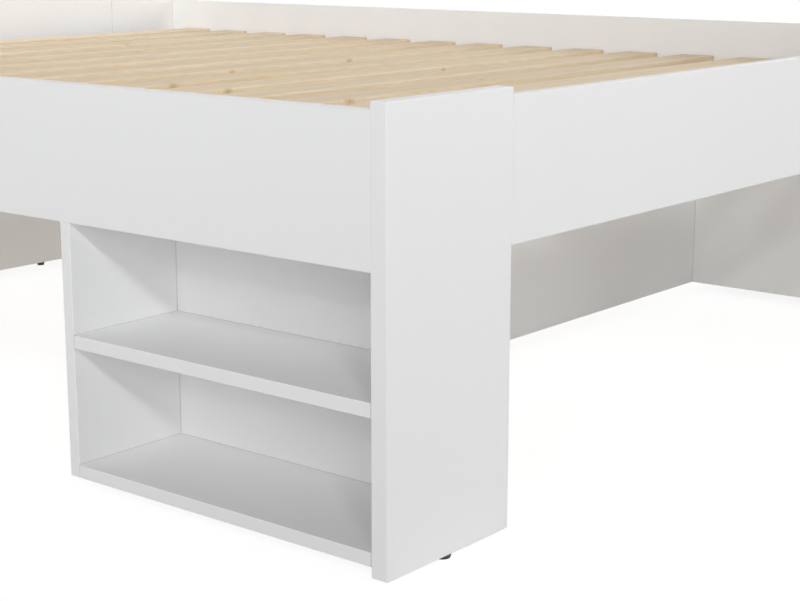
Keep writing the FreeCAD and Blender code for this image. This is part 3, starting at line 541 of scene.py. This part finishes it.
def pine_wood(tree, surface, place, piece, knot, bent):
    """Colour, dullness and relief of sanded pine, once its length is turned to x."""
    grain = use(tree, "pine_grain", Place=place, Piece=piece, Bent=bent)
    fibre_streaks = reckon(tree, "MULTIPLY", grain["Fibre"], FIBRE_SHARE)
    streaks = reckon(tree, "MULTIPLY_ADD", grain["Late wood"], LATE_WOOD_SHARE, fibre_streaks)
    colour = tint(tree, fade(tree, grain["Flush"], FLUSH_FULL, FLUSH_GONE), PINE_PALE, PINE_FLUSH)
    colour = tint(tree, reckon(tree, "MULTIPLY", streaks, STREAK_SHADE, clamp=True), colour, PINE_LATE)
    toned = vectors(tree, "SCALE", colour)
    piece_tone = reckon(tree, "MULTIPLY_ADD", grain["Piece tone"], PIECE_TONE_SPREAD, PIECE_TONE_LEAST)
    join(tree, piece_tone, toned.node.inputs["Scale"])
    colour = tint(tree, fade(tree, knot, KNOT_RING_FULL, KNOT_RING_GONE), toned, KNOT_RING)
    colour = tint(tree, fade(tree, knot, KNOT_HEART_FULL, KNOT_HEART_GONE), colour, KNOT_HEART)
    join(tree, colour, surface.inputs["Base Color"])
    surface.inputs["Specular IOR Level"].default_value = PINE_GLOSS
    roughness = reckon(tree, "MULTIPLY_ADD", grain["Fibre"], FIBRE_DULL, PINE_DULL)
    join(tree, roughness, surface.inputs["Roughness"])
    height = reckon(tree, "MULTIPLY_ADD", grain["Late wood"], LATE_WOOD_RELIEF, grain["Fibre"])
    relief(tree, height, GRAIN_DEPTH, surface)


# All slats share one finish. A slat's bay starts a little before its front edge, and inside the bay y is
# measured from the slat's own middle. A knot is longer along the slat than across it.
KNOT_ALONG = 0.62
RAGGED_LUMPS = 170.0
RAGGED_EDGE = 0.9
SLAT_LEAD = 0.02
SLAT_HALF_WIDTH = 0.035
slat_pine, tree, surface, place = new_finish("slat_pine")
spot = tree.nodes.new("ShaderNodeSeparateXYZ")
join(tree, place, spot.inputs[0])
from_first = reckon(tree, "SUBTRACT", spot.outputs["Y"], SLAT_FIRST - SLAT_LEAD)
along_bed = reckon(tree, "DIVIDE", from_first, SLAT_PITCH)
slat_number = reckon(tree, "FLOOR", along_bed)
into_bay = reckon(tree, "FRACT", along_bed)
own_y = reckon(tree, "MULTIPLY_ADD", into_bay, SLAT_PITCH, -SLAT_LEAD - SLAT_HALF_WIDTH)
own = tree.nodes.new("ShaderNodeCombineXYZ")
join(tree, spot.outputs["X"], own.inputs["X"])
join(tree, own_y, own.inputs["Y"])
join(tree, reckon(tree, "SUBTRACT", spot.outputs["Z"], SLAT_TOP), own.inputs["Z"])
nearest_knot = NO_KNOT
for knot_x, slat, in_y, in_z, radius in KNOTS:
    centre = (knot_x, SLAT_FIRST + SLAT_PITCH * (slat - 1) + in_y, SLAT_TOP + in_z)
    reach = vectors(tree, "SUBTRACT", place, centre)
    reach = vectors(tree, "MULTIPLY", reach, (KNOT_ALONG / radius, 1.0 / radius, 1.0 / radius))
    reach = vectors(tree, "LENGTH", reach, answer="Value")
    nearest_knot = reckon(tree, "MINIMUM", reach, nearest_knot)
ragged = reckon(tree, "MULTIPLY_ADD", grains(tree, place, RAGGED_LUMPS), RAGGED_EDGE, -RAGGED_EDGE / 2)
knot = reckon(tree, "ADD", nearest_knot, ragged)
bent = fade(tree, nearest_knot, BENT_FULL, BENT_GONE)
pine_wood(tree, surface, own.outputs[0], slat_number, knot, bent)

# The slats are painted darker towards their ends, a painted shade where the side rails stand over them, and
# it fades out over the last 20 mm of each slat.
SLAT_END_SHADE = (0.610, 0.455, 0.285, 1.0)
END_SHADE_SHARE = 0.55
END_SOLID = 0.002
END_GONE = 0.022
SLAT_HALF_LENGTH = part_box("slat_01")[1].x
# Painted shade: the slat tops darken towards both ends.
from_middle = reckon(tree, "ABSOLUTE", spot.outputs["X"])
near_end = fade(tree, from_middle, SLAT_HALF_LENGTH - END_SOLID, SLAT_HALF_LENGTH - END_GONE)
painted_end_shade = reckon(tree, "MULTIPLY", near_end, END_SHADE_SHARE)
wood_colour = surface.inputs["Base Color"].links[0].from_socket
join(tree, tint(tree, painted_end_shade, wood_colour, SLAT_END_SHADE), surface.inputs["Base Color"])
for count in range(1, SLAT_COUNT + 1):
    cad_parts[f"slat_{count:02d}"].data.materials[0] = slat_pine


# ---- Ledges and centre beam --------------------------------------------------------------------------
# Pine battens screwed to the side rails carry the slats' ends, and a pine beam down the middle carries
# their middles. The same wood, with its length along the bed.
long_pine, tree, surface, place = new_finish("batten_pine")
spot = tree.nodes.new("ShaderNodeSeparateXYZ")
join(tree, place, spot.inputs[0])
turned = tree.nodes.new("ShaderNodeCombineXYZ")
join(tree, spot.outputs["Y"], turned.inputs["X"])
join(tree, spot.outputs["X"], turned.inputs["Y"])
join(tree, reckon(tree, "SUBTRACT", spot.outputs["Z"], SLAT_TOP), turned.inputs["Z"])
batten_number = reckon(tree, "ROUND", spot.outputs["X"])
pine_wood(tree, surface, turned.outputs[0], batten_number, NO_KNOT, 0.0)
for batten in ("slat_ledge_left", "slat_ledge_right", "centre_beam"):
    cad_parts[batten].data.materials[0] = long_pine


# ---- Dowels ------------------------------------------------------------------------------------------
# Plain beech dowels, glued into blind holes wherever boards meet and no screw may show. Short-grained
# wood with the fine flecks of beech.
BEECH_LIGHT = (0.640, 0.440, 0.280, 1.0)
BEECH_FLECK = (0.430, 0.250, 0.140, 1.0)
FLECK_LUMPS = 1400.0
FLECK_SQUEEZE = 0.35
FLECK_FULL = 0.66
FLECK_GONE = 0.52
CLOUD_LUMPS = 180.0
CLOUD_SHADE = 0.3
BEECH_DULL = 0.5
FLECK_DULL = 0.2
FLECK_DEPTH = 0.00005
beech, tree, surface, place = new_finish("dowel_beech")
flecks = grains(tree, vectors(tree, "MULTIPLY", place, (1.0, 1.0, FLECK_SQUEEZE)), FLECK_LUMPS)
clouds = grains(tree, place, CLOUD_LUMPS)
colour = tint(tree, fade(tree, flecks, FLECK_FULL, FLECK_GONE), BEECH_LIGHT, BEECH_FLECK)
clouded = tint(tree, reckon(tree, "MULTIPLY", clouds, CLOUD_SHADE), colour, BEECH_FLECK)
join(tree, clouded, surface.inputs["Base Color"])
join(tree, reckon(tree, "MULTIPLY_ADD", flecks, FLECK_DULL, BEECH_DULL), surface.inputs["Roughness"])
relief(tree, flecks, FLECK_DEPTH, surface)
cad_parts["dowels"].data.materials[0] = beech


# ---- Screws and brackets -----------------------------------------------------------------------------
# Long screws through the cross panels and the back, wood screws, and pressed corner brackets, all of
# zinc-plated steel: cool grey, faintly mottled, with rub lines left by pressing and driving.
ZINC_BRIGHT = (0.660, 0.670, 0.680, 1.0)
ZINC_GREY = (0.480, 0.490, 0.505, 1.0)
MOTTLE_LUMPS = 260.0
RUB_LINE_LUMPS = 420.0
RUB_LINE_SQUEEZE = 8.0
ZINC_DULL = 0.24
RUB_LINE_DULL = 0.25
RUB_LINE_DEPTH = 0.00002
zinc, tree, surface, place = new_finish("zinc_steel")
mottle = grains(tree, place, MOTTLE_LUMPS, detail=3.0)
rub_lines = grains(tree, vectors(tree, "MULTIPLY", place, (1.0, 1.0, RUB_LINE_SQUEEZE)), RUB_LINE_LUMPS)
join(tree, tint(tree, mottle, ZINC_BRIGHT, ZINC_GREY), surface.inputs["Base Color"])
surface.inputs["Metallic"].default_value = 1.0
join(tree, reckon(tree, "MULTIPLY_ADD", rub_lines, RUB_LINE_DULL, ZINC_DULL), surface.inputs["Roughness"])
relief(tree, rub_lines, RUB_LINE_DEPTH, surface)
for hardware in ("long_screws", "wood_screws", "steel_brackets"):
    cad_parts[hardware].data.materials[0] = zinc


# ---- Centre post -------------------------------------------------------------------------------------
# A steel tube with a welded top plate holds the beam at mid length. Grey powder coat, with the fine
# orange-peel of baked powder.
POWDER_GREY = (0.300, 0.305, 0.310, 1.0)
POWDER_PALE = (0.350, 0.355, 0.360, 1.0)
POWDER_LUMPS = 30.0
PEEL_LUMPS = 520.0
POWDER_DULL = 0.38
PEEL_DULL = 0.18
PEEL_DEPTH = 0.00008
powder, tree, surface, place = new_finish("grey_powder_coat")
peel = grains(tree, place, PEEL_LUMPS)
powder_clouds = grains(tree, place, POWDER_LUMPS, detail=3.0)
join(tree, tint(tree, powder_clouds, POWDER_GREY, POWDER_PALE), surface.inputs["Base Color"])
join(tree, reckon(tree, "MULTIPLY_ADD", peel, PEEL_DULL, POWDER_DULL), surface.inputs["Roughness"])
relief(tree, peel, PEEL_DEPTH, surface)
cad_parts["centre_post"].data.materials[0] = powder


# ---- Floor glides ------------------------------------------------------------------------------------
# Black moulded glides under every board that stands on the floor: a stem in the board's edge and a
# round foot, in matt black plastic, a little scuffed.
MOULDED_BLACK = (0.018, 0.018, 0.019, 1.0)
SCUFFED_BLACK = (0.055, 0.055, 0.056, 1.0)
STIPPLE_LUMPS = 1600.0
SCUFF_LUMPS = 240.0
SCUFF_FULL = 0.70
SCUFF_GONE = 0.50
PLASTIC_DULL = 0.42
STIPPLE_DULL = 0.2
STIPPLE_DEPTH = 0.00006
glide_plastic, tree, surface, place = new_finish("black_plastic")
stipple = grains(tree, place, STIPPLE_LUMPS)
rough_patches = grains(tree, place, SCUFF_LUMPS, detail=4.0, roughness=0.65)
scuffs = fade(tree, rough_patches, SCUFF_FULL, SCUFF_GONE)
join(tree, tint(tree, scuffs, MOULDED_BLACK, SCUFFED_BLACK), surface.inputs["Base Color"])
join(tree, reckon(tree, "MULTIPLY_ADD", stipple, STIPPLE_DULL, PLASTIC_DULL), surface.inputs["Roughness"])
relief(tree, stipple, STIPPLE_DEPTH, surface)
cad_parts["floor_glides"].data.materials[0] = glide_plastic
